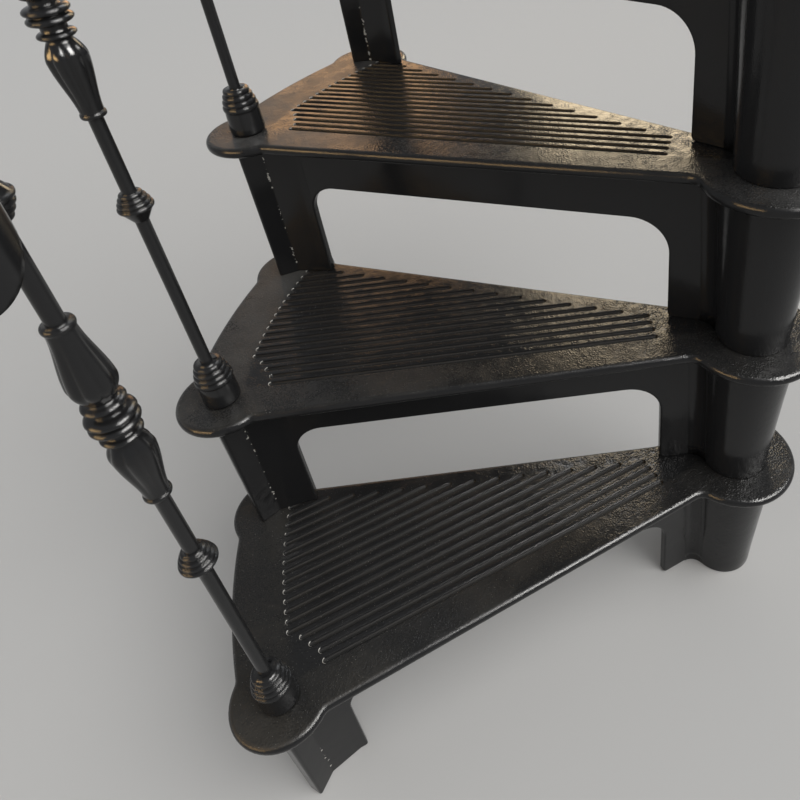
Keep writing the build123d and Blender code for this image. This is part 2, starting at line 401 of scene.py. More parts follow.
# Tread: plan of the plate round the newel, its front edge towards +Y
FRONT_EDGE = ((0.060, 0.026), (0.560, 0.0344))
BACK_Y = -0.0284
LOBE_Y = -0.003
COLLAR_FILLETS = (0.060, 0.015)
LOBE_FILLET = 0.010
NECK_FILLET = 0.016
PLAN_SPACING = 0.006

# Rough places that tell the fillets apart: at the collar's back and front, behind the back
# lobe, at the two necks of the outer edge and before the front lobe
COLLAR_BACK_NEAR = (0.12, BACK_Y - 0.05)
COLLAR_FRONT_NEAR = (FRONT_EDGE[0][0] + 0.02, FRONT_EDGE[0][1] + 0.015)
BACK_LOBE_NEAR = (-0.05, BACK_Y - 0.01)
NECK_REACH, NECK_NEAR = 1.02, 0.075
FRONT_LOBE_NEAR = (FRONT_EDGE[1][0] - 0.01, FRONT_EDGE[1][1] + 0.01)


def lobe_x(sizes):
    """How far the middle of the front lobe lies from the newel's axis."""
    return sizes.outer_radius - sizes.lobe_inset


def plate_outline(sizes):
    """Plan of the tread plate, anticlockwise, with every joint filleted."""
    lobe = (lobe_x(sizes), LOBE_Y)
    edges = [
        Circle((0, 0), sizes.collar_radius),
        Edge(*(turned((x, BACK_Y), -sizes.turn) for x in (sizes.collar_radius, lobe[0]))),
        Circle(turned(lobe, -sizes.turn), sizes.lobe_radius),
        Circle((0, 0), sizes.outer_radius),
        Circle(lobe, sizes.lobe_radius),
        Edge(*reversed(FRONT_EDGE)),
    ]
    neck = NECK_NEAR / sizes.outer_radius
    outside = (NECK_REACH * sizes.outer_radius, 0.0)
    back_lobe_near = (lobe[0] + BACK_LOBE_NEAR[0], BACK_LOBE_NEAR[1])
    fillets = [
        (COLLAR_FILLETS[0], turned(COLLAR_BACK_NEAR, -sizes.turn)),
        (LOBE_FILLET, turned(back_lobe_near, -sizes.turn)),
        (NECK_FILLET, turned(outside, -sizes.turn + neck)),
        (NECK_FILLET, turned(outside, -neck)),
        (LOBE_FILLET, FRONT_LOBE_NEAR),
        (COLLAR_FILLETS[1], COLLAR_FRONT_NEAR),
    ]
    return filleted(edges, fillets, PLAN_SPACING)


# Grooves: their number, how far they stop inside the outer edge, the setback of the front
# ones from the lobe, the front one's place, the angles of the field's outer and inner ends,
# and the front ones' inner end
GROOVES = 18
GROOVE_MARGIN = 0.0595
GROOVE_SETBACKS = (0.049, 0.048, 0.0405, 0.033)
GROOVE_FRONT_Y = -0.0119
GROOVE_SPREAD = math.radians(22.57)
GROOVE_FAN = math.radians(23)
GROOVE_INNER_X = 0.103
GROOVE_END_STEPS = 8

# Bottom of a groove: its rounding as a share of the half width and the angles of its rings,
# and how much of an end faces outwards where chipped paint and a painted glint show
GROOVE_BOTTOM = 0.45
GROOVE_BOTTOM_ANGLES = (0.0, 0.5, 1.0, math.pi / 2)
CHIP_AND_GLINT_END = 0.2


def groove_outlines(sizes):
    """Outline of each groove, from the front one to the rearmost."""
    reach = sizes.outer_radius - GROOVE_MARGIN
    pitch = (GROOVE_FRONT_Y + reach * math.sin(GROOVE_SPREAD)) / (GROOVES - 1)
    step = pitch / math.tan(GROOVE_FAN)
    set_back = len(GROOVE_SETBACKS)
    radius = sizes.groove_width / 2
    half_turn = math.pi / GROOVE_END_STEPS * (np.arange(GROOVE_END_STEPS + 1)) - math.pi / 2
    outer_end = np.c_[np.cos(half_turn), np.sin(half_turn)]
    normals = np.vstack((outer_end, -outer_end))
    outlines = []
    for j in range(GROOVES):
        y = GROOVE_FRONT_Y - j * pitch
        inner = GROOVE_INNER_X + step * max(0, j + 1 - set_back)
        outer = math.sqrt(reach ** 2 - y ** 2)
        if j < set_back:
            outer = lobe_x(sizes) - GROOVE_SETBACKS[j]
        middles = [[outer - radius, y], [inner + radius, y]]
        middles = np.repeat(middles, GROOVE_END_STEPS + 1, 0)
        outlines.append((middles + radius * normals, normals))
    return outlines


def add_groove(shell, outline, sizes):
    """Groove as rings from the tread's top down to its rounded bottom; returns the top ring."""
    points, normals = outline
    depth = sizes.groove_depth
    outer_end = (normals[:, 0] > CHIP_AND_GLINT_END) * 1.0
    profile = [(-inset, drop) for inset, drop in quarter(HOLE_ROUND)[::2]]
    low = GROOVE_BOTTOM * (sizes.groove_width / 2)
    for a in GROOVE_BOTTOM_ANGLES:
        profile.append((low * (1 - math.cos(a)), depth - low * (1 - math.sin(a))))
    rings = []
    for inset, drop in profile:
        ring = points - inset * normals
        # Painted glints and chipped paint at each groove's outward end, part way down
        wear_and_glint = outer_end if 0 < drop < depth / 2 else 0.0
        rings.append(shell.ring([(*p, -drop) for p in ring], wear_and_glint, min(1.0, drop / depth)))
    shell.stack(rings)
    shell.lid(rings[-1])
    return rings[0]


def add_plate(shell, sizes):
    """Grooved plate with a bullnose edge and the newel's hole, its top at height 0."""
    thickness = sizes.thickness
    outline = plate_outline(sizes)
    rings = slab_rings(shell, outline, thickness, sizes.nose, lambda p, d: (*p, -d))
    shell.stack(rings)
    grooves = [add_groove(shell, outline, sizes) for outline in groove_outlines(sizes)]
    bore = [(HOLE_ROUND, 0), (0, HOLE_ROUND), (0, thickness - HOLE_ROUND), (HOLE_ROUND, thickness)]
    hole = [
        shell.ring(circle_points(BORE_R + grow, -drop, BORE_SEGMENTS)) for grow, drop in bore
    ]
    shell.stack(hole)
    shell.lid(rings[0], hole[0], *grooves)
    shell.lid(rings[-1], hole[-1])


# Sleeve round the newel: radius at its foot, half way and under the plate, and its flare,
# which stops short of level by a small angle
SLEEVE_RADII = (0.040, 0.045, 0.052)
SLEEVE_FLARE = 0.008
SLEEVE_SEGMENTS = 96
SLEEVE_RINGS = 14
FLARE_RINGS = 6
FLARE_END = 0.2


def sleeve_radius(depth, sizes):
    """Radius of the sleeve at a depth under the tread's top."""
    down = (depth - sizes.thickness) / (RISE - sizes.thickness)
    foot, middle, top = SLEEVE_RADII
    slope = 4 * middle - 3 * top - foot
    curve = 2 * foot + 2 * top - 4 * middle
    return top + down * slope + down ** 2 * curve


def add_sleeve(shell, sizes):
    """Tapered sleeve with a flare into the plate, a rounded foot and the newel's bore."""
    start = sizes.thickness + SLEEVE_FLARE
    depths = np.linspace(start, RISE - FOOT_ROUND, SLEEVE_RINGS)
    outside = [(sleeve_radius(d, sizes), -d) for d in depths]
    top = sleeve_radius(start, sizes)
    flare = [
        (top + SLEEVE_FLARE * (1 - math.cos(a)), -start + SLEEVE_FLARE * math.sin(a))
        for a in np.linspace(math.pi / 2, FLARE_END, FLARE_RINGS)
    ]
    foot = outside[-1][0]
    hidden = -start / 2
    profile = [(BORE_R, hidden), (top + SLEEVE_FLARE, hidden), *flare, *outside]
    profile += [(foot - FOOT_ROUND, -RISE), (BORE_R, -RISE)]
    revolve(shell, profile, SLEEVE_SEGMENTS)


# Riser web: front face, inner jamb at the top and foot, outer jamb from the lobe's middle,
# corner radii, ends inside the sleeve and the leg, rounding, and longest step along an edge
WEB_FRONT_Y = -0.0075
JAMB_IN, JAMB_IN_FOOT = 0.097, 0.094
JAMB_SETBACK = 0.055
CORNER_IN, CORNER_OUT, CORNER_FOOT, CORNER = 0.044, 0.035, 0.006, 0.003
WEB_START, WEB_END_SETBACK = 0.020, 0.029
WEB_ROUND = 0.002
WEB_SPACING = 0.05

# Hollow fillet in the corner of sleeve and web: its radius, its steps round and its rings
# down, and its hidden side, just outside the bore and just behind the web's front
GUSSET = 0.018
GUSSET_STEPS = 7
GUSSET_RINGS = 12
GUSSET_INSIDE = BORE_R + 0.004
GUSSET_BEHIND = WEB_FRONT_Y - 0.002


def add_web(shell, sizes):
    """Riser web with its opening."""
    jamb_out = lobe_x(sizes) - JAMB_SETBACK
    end = lobe_x(sizes) - WEB_END_SETBACK
    high, top = -sizes.thickness / 2, -sizes.opening_top
    corners = [
        (WEB_START, -RISE, CORNER), (JAMB_IN_FOOT, -RISE, CORNER_FOOT),
        (JAMB_IN, top, CORNER_IN), (jamb_out, top, CORNER_OUT),
        (jamb_out, -RISE, CORNER), (end, -RISE, CORNER),
        (end, high, CORNER), (WEB_START, high, CORNER),
    ]
    outline = rounded_polygon(corners, WEB_SPACING)
    slab(shell, outline, sizes.web, WEB_ROUND, lambda p, d: (p[0], WEB_FRONT_Y - d, p[1]))


def add_gusset(shell, sizes):
    """Fillet down the corner between the sleeve and the front of the web."""
    rings = []
    middle_y = WEB_FRONT_Y + GUSSET
    for depth in np.linspace(sizes.thickness / 2, RISE, GUSSET_RINGS):
        radius = sleeve_radius(max(depth, sizes.thickness), sizes)
        middle = np.array((math.sqrt((radius + GUSSET) ** 2 - middle_y ** 2), middle_y))
        away = math.atan2(-middle[1], -middle[0])
        angles = np.linspace(-math.pi / 2, away - 2 * math.pi if away > 0 else away, GUSSET_STEPS)
        hollow = middle + GUSSET * np.c_[np.cos(angles), np.sin(angles)]
        hidden = [
            (GUSSET_INSIDE, middle_y / 2), (GUSSET_INSIDE, GUSSET_BEHIND),
            (middle[0], GUSSET_BEHIND),
        ]
        rings.append(shell.ring([(*p, -depth) for p in [*hollow, *hidden]]))
    shell.close(rings)


# Leg at the outer end of the web, in plan from the middle of the front lobe, anticlockwise,
# each corner with its radius; chipped paint and painted glints run along the valley in its front
LEG_BACK = (
    (-0.042, -0.0284, 0.002), (-0.032, -0.0279, 0.0016), (-0.032, -0.017, 0.003),
    (-0.010, -0.010, 0.003), (0.005, -0.010, 0.003), (0.0055, -0.0258, 0.0016),
    (0.019, -0.025, 0.002),
)
LEG_VALLEY = (-0.009, 0.002)
LEG_FRONT = (
    (0.023, 0.004, 0.003), (0.012, 0.020, 0.005), (*LEG_VALLEY, 0.003),
    (-0.056, -0.0075, 0.0016), (-0.056, -0.0175, 0.0016),
)
LEG_TAPER = math.tan(math.radians(0.7))
CHIP_AND_GLINT_WIDTH = 0.004
CHIP_AND_GLINT_VALLEY = 0.6


def add_leg(shell, sizes):
    """Hollow-backed leg, closed at its top where it meets the plate."""
    high = sizes.thickness / 2
    cap = (LEG_BACK[0], LEG_BACK[-1])
    for back, low in ((cap, 2 * sizes.thickness), (LEG_BACK, RISE)):
        points, normals = rounded_polygon([*back, *LEG_FRONT], CHIP_AND_GLINT_WIDTH)
        nearness = [1 - math.dist(p, LEG_VALLEY) / CHIP_AND_GLINT_WIDTH for p in points]
        # Chipped paint and painted glints along the leg's valley
        worn = [CHIP_AND_GLINT_VALLEY * max(0.0, near) for near in nearness]
        outline = (points + (lobe_x(sizes), 0), normals)
        slab(shell, outline, low - high, FOOT_ROUND, lambda p, d: (*p, -high - d), worn, LEG_TAPER)


def tread_mesh(sizes):
    """Mesh of one tread casting."""
    shell = Shell()
    add_plate(shell, sizes)
    add_sleeve(shell, sizes)
    add_web(shell, sizes)
    add_gusset(shell, sizes)
    add_leg(shell, sizes)
    return shell.mesh("tread_casting")


# Baluster foot: the cup's radii and heights, then its beads' height and radii
CUP = (
    (0.0170, 0.0), (0.0185, 0.0006), (0.0198, 0.0020),
    (0.0203, 0.0040), (0.0203, 0.0080), (0.0195, 0.0294),
)
FOOT_BEAD, FOOT_BEADS = 0.0063, (0.0207, 0.0193, 0.0174, 0.0151)

# Knot: its cone with the small toe under it, then its beads
KNOT_TOE, KNOT_TOE_OUT = 0.0016, 0.0012
KNOT_CONE, KNOT_BEAD, KNOT_BEADS = 0.013, 0.0042, (0.0164, 0.0150, 0.0130, 0.0106)

# Centre ornament from its middle outwards: torus, collar bead, vase and end bead
TORUS, TORUS_R, TORUS_ROOT = 0.0072, 0.0178, 0.001
NECK_R = 0.0102
COLLAR_BEAD_Z, COLLAR_BEAD, COLLAR_BEAD_R = 0.0126, 0.0056, 0.0151
VASE_NECK_Z, VASE_Z, VASE_END_Z = 0.020, 0.035, 0.081
VASE_R, VASE_END_R = 0.0166, 0.0096
END_BEAD, END_BEAD_R = 0.0045, 0.0108

# Vase: its rings up the swell and along the slim end, how straight that end is, and the
# power that shapes the furrows between its lobes
SWELL_RINGS = np.linspace(0.08, 1, 7)
SLIM_RINGS = np.linspace(0.1, 1, 9)
SLIM_STRAIGHT = 0.35
FURROW_POWER = 0.7

# Depth of the grooves between beads, the step from the last bead back to the rod, and how
# far outwards from the lobe's middle the baluster stands
BEAD_GROOVE = 0.0016
ROD_STEP = 0.0004
BEAD_STEPS = 8
BALUSTER_SEGMENTS = 64
BALUSTER_SHIFT = -0.0005


def bead(valley, crest, start, height):
    """Half-round bead as (radius, height, lobed) points."""
    points = []
    for i in range(BEAD_STEPS + 1):
        a = math.pi * i / BEAD_STEPS
        radius = valley + (crest - valley) * math.sin(a)
        points.append((radius, start + height * (1 - math.cos(a)) / 2, 0.0))
    return points


def bead_stack(crests, start, height):
    """Beads that shrink upwards."""
    points = []
    for i, crest in enumerate(crests):
        points += bead(crest - BEAD_GROOVE, crest, start + i * height, height)
    return points


def knot(rod, start):
    """Knot on the rod from its cone up through its beads."""
    cone = [
        (rod, start, 0.0),
        (rod + KNOT_TOE_OUT, start + KNOT_TOE, 0.0),
        (KNOT_BEADS[0] - BEAD_GROOVE, start + KNOT_CONE, 0.0),
    ]
    stack = bead_stack(KNOT_BEADS, start + KNOT_CONE, KNOT_BEAD)
    return cone + stack + [(rod, stack[-1][1] + ROD_STEP, 0.0)]


def vase():
    """Lobed vase from its neck to its slim end, as heights above the ornament's middle."""
    points = [(NECK_R, VASE_NECK_Z, 0.0)]
    for t in SWELL_RINGS:
        radius = NECK_R + (VASE_R - NECK_R) * math.sin(t * math.pi / 2)
        height = VASE_NECK_Z + (VASE_Z - VASE_NECK_Z) * t
        points.append((radius, height, min(1.0, 2 * t)))
    for t in SLIM_RINGS:
        eased = 0.5 + 0.5 * math.cos(math.pi * t)
        slim = SLIM_STRAIGHT * (1 - t) + (1 - SLIM_STRAIGHT) * eased
        radius = VASE_END_R + (VASE_R - VASE_END_R) * slim
        points.append((radius, VASE_Z + (VASE_END_Z - VASE_Z) * t, 1 - t ** 2))
    return points


def half_ornament(rod):
    """Centre ornament from its middle upwards."""
    points = bead(NECK_R + TORUS_ROOT, TORUS_R, 0.0, TORUS)
    points += [(NECK_R, TORUS + TORUS_ROOT, 0.0)]
    points += bead(NECK_R, COLLAR_BEAD_R, COLLAR_BEAD_Z, COLLAR_BEAD)
    points += vase()
    points += bead(VASE_END_R, END_BEAD_R, VASE_END_Z, END_BEAD)
    return points + [(rod, VASE_END_Z + END_BEAD + ROD_STEP, 0.0)]


def mirrored(points, height):
    """The same outline upside down about a height."""
    return [(r, 2 * height - z, lobed) for r, z, lobed in reversed(points)]


def baluster_outline(sizes):
    """Outline of the baluster above the tread, as (radius, height, lobed) points."""
    foot = [(r, z, 0.0) for r, z in CUP]
    foot += bead_stack(FOOT_BEADS, CUP[-1][1], FOOT_BEAD)
    foot.append((sizes.rod, foot[-1][1] + ROD_STEP, 0.0))
    upper = [(r, sizes.ornament + z, lobed) for r, z, lobed in half_ornament(sizes.rod)]
    lower = knot(sizes.rod, sizes.knot) + mirrored(upper, sizes.ornament)
    upper += mirrored(knot(sizes.rod, sizes.knot), sizes.ornament)
    return foot + lower + upper + [(sizes.rod, sizes.rail_seat, 0.0)]


def baluster_mesh(sizes):
    """Mesh of one baluster standing on height 0."""
    shell = Shell()
    angles = np.linspace(0, 2 * math.pi, BALUSTER_SEGMENTS, endpoint=False)
    furrow = 1 - np.abs(np.cos(sizes.lobes / 2 * angles)) ** FURROW_POWER
    rings = []
    for radius, height, lobed in baluster_outline(sizes):
        radii = radius - lobed * sizes.lobe_depth * furrow
        ring = [(r * math.cos(a), r * math.sin(a), height) for r, a in zip(radii, angles)]
        rings.append(shell.ring(ring, 0.0, lobed * furrow))
    shell.close(rings)
    return shell.mesh("turned_baluster")


# A colour Mix node's sockets, which share their names with those of its other kinds
MIX_ONE, MIX_TWO, MIX_RESULT = 6, 7, 2


class Nodes:
    """A node tree with short ways to add and link nodes."""

    def __init__(self, tree):
        self.tree = tree

    def add(self, kind, settings=None, **inputs):
        """Node of a kind; settings are its own options and inputs are values or sockets by name."""
        node = self.tree.nodes.new(kind)
        for key, value in (settings or {}).items():
            setattr(node, key, value)
        for key, value in inputs.items():
            self.feed(node.inputs[key.replace("_", " ")], value)
        return node

    def feed(self, socket, value):
        """Link a socket to another, or set its value."""
        if isinstance(value, bpy.types.NodeSocket):
            self.tree.links.new(value, socket)
        else:
            socket.default_value = value

    def math(self, operation, *values, clamp=False):
        """Result of a Math node."""
        node = self.tree.nodes.new("ShaderNodeMath")
        node.operation, node.use_clamp = operation, clamp
        for socket, value in zip(node.inputs, values):
            self.feed(socket, value)
        return node.outputs[0]

    def ramp(self, value, low, high, start=0.0, end=1.0):
        """Value eased from low..high to start..end."""
        node = self.add("ShaderNodeMapRange", {"interpolation_type": "SMOOTHSTEP"}, Value=value,
                        From_Min=low, From_Max=high, To_Min=start, To_Max=end)
        return node.outputs["Result"]

    def noise(self, place, scale, detail, roughness=0.5):
        """Noise between about 0 and 1."""
        node = self.add("ShaderNodeTexNoise", Vector=place, Scale=scale, Detail=detail,
                        Roughness=roughness)
        return node.outputs["Fac"]

    def mix(self, mask, one, two):
        """Colour one, and two where the mask is 1."""
        node = self.add("ShaderNodeMix", {"data_type": "RGBA"}, Factor=mask)
        self.feed(node.inputs[MIX_ONE], one)
        self.feed(node.inputs[MIX_TWO], two)
        return node.outputs[MIX_RESULT]

    def group(self, tree, **inputs):
        """Outputs of a node group with its inputs set."""
        return self.add("ShaderNodeGroup", {"node_tree": tree}, **inputs).outputs

    def product(self, first, *others):
        """All the values multiplied."""
        for other in others:
            first = self.math("MULTIPLY", first, other)
        return first

    def mark(self, name):
        """Mark that the mesh carries, 0 where it carries none."""
        return self.add("ShaderNodeAttribute", {"attribute_name": name}).outputs["Fac"]


def effect(name, inputs, outputs):
    """New shader node group with named numbers in and out; returns its nodes and both ends."""
    group = bpy.data.node_groups.new(name, "ShaderNodeTree")
    new_socket, kind = group.interface.new_socket, "NodeSocketFloat"
    for label, default in inputs.items():
        new_socket(name=label, in_out="INPUT", socket_type=kind).default_value = default
    for label in outputs:
        new_socket(name=label, in_out="OUTPUT", socket_type=kind)
    nodes = Nodes(group)
    return nodes, nodes.add("NodeGroupInput").outputs, nodes.add("NodeGroupOutput").inputs


def surface(nodes):
    """Place on the surface, and how far it faces up."""
    shape = nodes.add("ShaderNodeNewGeometry").outputs
    facing = nodes.add("ShaderNodeSeparateXYZ", Vector=shape["Normal"]).outputs["Z"]
    return shape["Position"], facing


def from_newel(nodes, place):
    """Distance of a place from the newel's axis."""
    flat = nodes.add("ShaderNodeVectorMath", {"operation": "MULTIPLY"})
    nodes.feed(flat.inputs[0], place)
    nodes.feed(flat.inputs[1], (1.0, 1.0, 0.0))
    far = nodes.add("ShaderNodeVectorMath", {"operation": "LENGTH"}, Vector=flat.outputs["Vector"])
    return far.outputs["Value"]


# Noises as scale, detail and roughness, and ramps as low, high and the values there.
# Cast skin: pebbles in patches, on what faces up and most by the sleeve, over slow waves.
PEBBLES = (560.0, 0.0)
WAVES = (26.0, 1.0)
PATCHES = (95.0, 1.0)
PATCH_EDGES = (0.25, 0.7, 0.25, 1.0)
PATCH_FACING = (0.8, 0.98, 0.15, 1.0)
PATCH_REACH = (0.13, 0.24, 1.0, 0.45)


def cast_skin():
    """Group: grainy height of thickly painted iron, and a slow mask of its waves."""
    nodes, given, result = effect("Cast Skin", {"Pebbles": 1.0, "Waves": 1.0}, ("Height", "Wave"))
    place, facing = surface(nodes)
    waves = nodes.noise(place, *WAVES)
    patches = nodes.product(
        nodes.ramp(nodes.noise(place, *PATCHES), *PATCH_EDGES),
        nodes.ramp(facing, *PATCH_FACING),
        nodes.ramp(from_newel(nodes, place), *PATCH_REACH),
    )
    pebbled = nodes.product(nodes.noise(place, *PEBBLES), patches, given["Pebbles"])
    waved = nodes.product(waves, given["Waves"])
    nodes.feed(result["Height"], nodes.math("ADD", pebbled, waved))
    nodes.feed(result["Wave"], waves)
    return nodes.tree


# Settled dust: on what faces up, not down in a groove, thinner towards the newel, in clouds
# with a fine grain; then dirt and painted shade down in the grooves, and painted sparkle specks
DUST_FACING = (0.55, 0.98)
DUST_DEPTH = (0.05, 0.6)
DUST_REACH = (0.42, 0.60, 0.45, 1.0)
CLOUDS = (9.0, 5.0, 0.62)
CLOUD_EDGES = (0.30, 0.72)
CLOUD_COVER = (0.0, 1.0, 0.35, 1.0)
GRAIN = (620.0, 2.0, 0.7)
GRAIN_COVER = (0.35, 0.75, -0.25, 0.35)
GRIME_SHADE_DEPTH = (0.25, 0.9)
SPARKLE = (700.0, 0.0)
SPARKLE_EDGES = (0.775, 0.81)


def dust_shade_and_sparkle():
    """Group: dust film on the treads with painted sparkle, and dirt and painted shade in grooves.
    """
    nodes, given, result = effect("Dust Shade And Sparkle", {"Cover": 0.6}, ("Mask", "Specks", "Grime and shade"))
    place, facing = surface(nodes)
    lying = nodes.product(nodes.ramp(facing, *DUST_FACING), given["Cover"])
    sunk = nodes.mark("sunk")
    high = nodes.math("SUBTRACT", 1.0, nodes.ramp(sunk, *DUST_DEPTH))
    film = nodes.product(lying, high, nodes.ramp(from_newel(nodes, place), *DUST_REACH))
    clouds = nodes.ramp(nodes.noise(place, *CLOUDS), *CLOUD_EDGES)
    grain = nodes.ramp(nodes.noise(place, *GRAIN), *GRAIN_COVER)
    grainy = nodes.math("ADD", nodes.ramp(clouds, *CLOUD_COVER), grain)
    nodes.feed(result["Mask"], nodes.math("MULTIPLY", film, grainy, clamp=True))
    # Painted shade with dirt: darker the deeper down a groove or a furrow
    nodes.feed(result["Grime and shade"], nodes.ramp(sunk, *GRIME_SHADE_DEPTH))
    # Painted sparkle: bright specks on what faces up
    sparkle = nodes.ramp(nodes.noise(place, *SPARKLE), *SPARKLE_EDGES)
    nodes.feed(result["Specks"], nodes.product(sparkle, lying))
    return nodes.tree


# Rubbed paint and painted glints: the slow patches that they come in, and how sharp their edge is
CHIP_GLINT_DETAIL = 1.0
CHIP_GLINT_PATCHES = (0.35, 0.65, -0.06, 0.14)
CHIP_GLINT_EDGE = (0.0, 0.06)


def rubbed_paint_and_glints():
    """Group: chips, rubbed spots and painted glints where the mesh is marked as worn."""
    nodes, given, result = effect("Rubbed Paint And Glints", {"Amount": 0.5, "Fineness": 240.0}, ("Mask",))
    place = nodes.add("ShaderNodeNewGeometry").outputs["Position"]
    chips_and_glints = nodes.noise(place, given["Fineness"], CHIP_GLINT_DETAIL)
    patches = nodes.ramp(nodes.noise(place, *WAVES), *CHIP_GLINT_PATCHES)
    limit = nodes.math("SUBTRACT", 1.0, nodes.product(nodes.mark("worn"), given["Amount"]))
    broken = nodes.math("SUBTRACT", nodes.math("ADD", chips_and_glints, patches), limit)
    nodes.feed(result["Mask"], nodes.ramp(broken, *CHIP_GLINT_EDGE))
    return nodes.tree


# Trodden field of the grooves in the first tread's place: its outer end from the newel, its
# front, how its edges waver, and how far below its top a tread still counts as its bay
TRODDEN_OUTER = (0.570, 0.586, 1.0, 0.0)
TRODDEN_FRONT = (-0.010, -0.002, 1.0, 0.0)
WAVER = (40.0, 2.0)
WAVER_REACH = 0.008
BAY_SLACK = 0.05


def trodden_lands(nodes):
    """Mask of the grooved field that shoes keep polished, in the tread's own frame."""
    point = nodes.add("ShaderNodeNewGeometry").outputs["Position"]
    height = nodes.add("ShaderNodeSeparateXYZ", Vector=point).outputs["Z"]
    rises = nodes.math("DIVIDE", nodes.math("ADD", height, BAY_SLACK), RISE)
    turns = nodes.math("SUBTRACT", nodes.math("FLOOR", rises), 1.0)
    back = nodes.product(turns, bpy.context.scene.stair_treads.turn)
    spin = nodes.add("ShaderNodeVectorRotate", {"rotation_type": "Z_AXIS"}, Angle=back)
    nodes.feed(spin.inputs["Vector"], point)
    place = spin.outputs["Vector"]
    across = nodes.add("ShaderNodeSeparateXYZ", Vector=place).outputs["Y"]
    waver = nodes.product(nodes.noise(place, *WAVER), WAVER_REACH)
    inside = nodes.ramp(nodes.math("ADD", from_newel(nodes, place), waver), *TRODDEN_OUTER)
    behind = nodes.ramp(nodes.math("ADD", across, waver), *TRODDEN_FRONT)
    return nodes.product(inside, behind)


# Finishes: pebbles, waves and height of the cast skin, cover of dust and of the painted shade
# in grooves, and shine, and where it applies amount and fineness of rubbed spots and painted
# glints, how much smoother than the paint's roughness, and how clean the shoes keep the lands
FINISHES = {
    "painted_casting": dict(
        pebbles=1.7, waves=0.45, relief=0.0005, dust=1.0, shine=0.22,
        wear_and_glint=0.68, fineness=260.0, trodden=0.85,
    ),
    "painted_baluster": dict(
        pebbles=0.5, waves=0.8, relief=0.0004, dust=0.1, shine=0.3, smoother=0.06,
    ),
    "painted_rail": dict(pebbles=0.12, waves=0.8, relief=0.0003, dust=0.2, shine=0.24),
}

# Where the dust film turns to its painted sheen at a low angle, how bright the painted
# sparkle specks are, how the waves change the gloss, and how wide the paint softens a sharp edge
SHEEN_ANGLE = (0.16, 0.64)
SPARKLE_BRIGHTNESS = 0.22
WAVE_EDGES = (0.3, 0.7)
WAVE_SMOOTHER, WAVE_ROUGHER = 0.04, 0.06
SOFT_EDGE, SOFT_EDGE_SAMPLES = 0.0022, 2


def new_material(name):
    """New material, its nodes and its shader."""
    material = bpy.data.materials.new(name)
    material.use_nodes = True
    return material, Nodes(material.node_tree), material.node_tree.nodes["Principled BSDF"]


def painted(name, look, effects, pebbles, waves, relief, dust, shine,
            wear_and_glint=0.0, fineness=240.0, smoother=0.0, trodden=0.0):
    """Gloss paint on iron with its own share of each effect."""
    _, nodes, shader = new_material(name)
    paint, film, sheen, dirt, bare_and_glint = (
        (*colour, 1.0) for colour in (look.paint, look.dust, look.sheen, look.grime_and_shade, look.bare_and_glint)
    )
    skin = nodes.group(effects["skin"], Pebbles=pebbles, Waves=waves)
    settled = nodes.group(effects["dust"], Cover=dust)
    rubbed = nodes.group(effects["wear_and_glint"], Amount=wear_and_glint, Fineness=fineness)

    mask = settled["Mask"]
    if trodden:
        polished = nodes.product(trodden_lands(nodes), trodden)
        mask = nodes.product(mask, nodes.math("SUBTRACT", 1.0, polished))
    # Dirt and painted shade down in grooves and furrows, as far as the finish has dust
    grime_and_shade = nodes.product(settled["Grime and shade"], dust)
    facing = nodes.add("ShaderNodeLayerWeight").outputs["Facing"]
    # Painted sheen: the dust film pales towards its low-angle colour by Layer Weight's facing
    colour = nodes.mix(mask, paint, nodes.mix(nodes.ramp(facing, *SHEEN_ANGLE), film, sheen))
    # The colour darkens there to the grime colour: dirt and painted shade
    colour = nodes.mix(grime_and_shade, colour, dirt)
    # Painted sparkle specks, lightened towards the pale worn colour
    sparkle = nodes.product(settled["Specks"], SPARKLE_BRIGHTNESS)
    # Chipped paint and painted glints, with the sparkle, take the pale worn colour
    colour = nodes.mix(nodes.math("MAXIMUM", rubbed["Mask"], sparkle), colour, bare_and_glint)
    nodes.feed(shader.inputs["Base Color"], colour)

    gloss = look.gloss - smoother
    smoothest, roughest = gloss - WAVE_SMOOTHER, gloss + WAVE_ROUGHER
    clean = nodes.ramp(skin["Wave"], *WAVE_EDGES, smoothest, roughest)
    dull = nodes.product(nodes.math("MAXIMUM", mask, grime_and_shade), look.dull - gloss)
    nodes.feed(shader.inputs["Roughness"], nodes.math("ADD", clean, dull, clamp=True))
    shader.inputs["Specular IOR Level"].default_value = shine

    soft_edge = nodes.add("ShaderNodeBevel", {"samples": SOFT_EDGE_SAMPLES}, Radius=SOFT_EDGE)
    bump = nodes.add("ShaderNodeBump", Height=skin["Height"], Distance=relief,
                     Normal=soft_edge.outputs["Normal"])
    nodes.feed(shader.inputs["Normal"], bump.outputs["Normal"])


def paints(look):
    """The painted finishes by name, built once."""
    if not bpy.data.materials.get("painted_casting"):
        effects = {"skin": cast_skin(), "dust": dust_shade_and_sparkle(), "wear_and_glint": rubbed_paint_and_glints()}
        for name, finish in FINISHES.items():
            painted(name, look, effects, **finish)
    return bpy.data.materials


def new_object(name, data):
    """New object in the scene."""
    made = bpy.data.objects.new(name, data)
    bpy.context.scene.collection.objects.link(made)
    return made


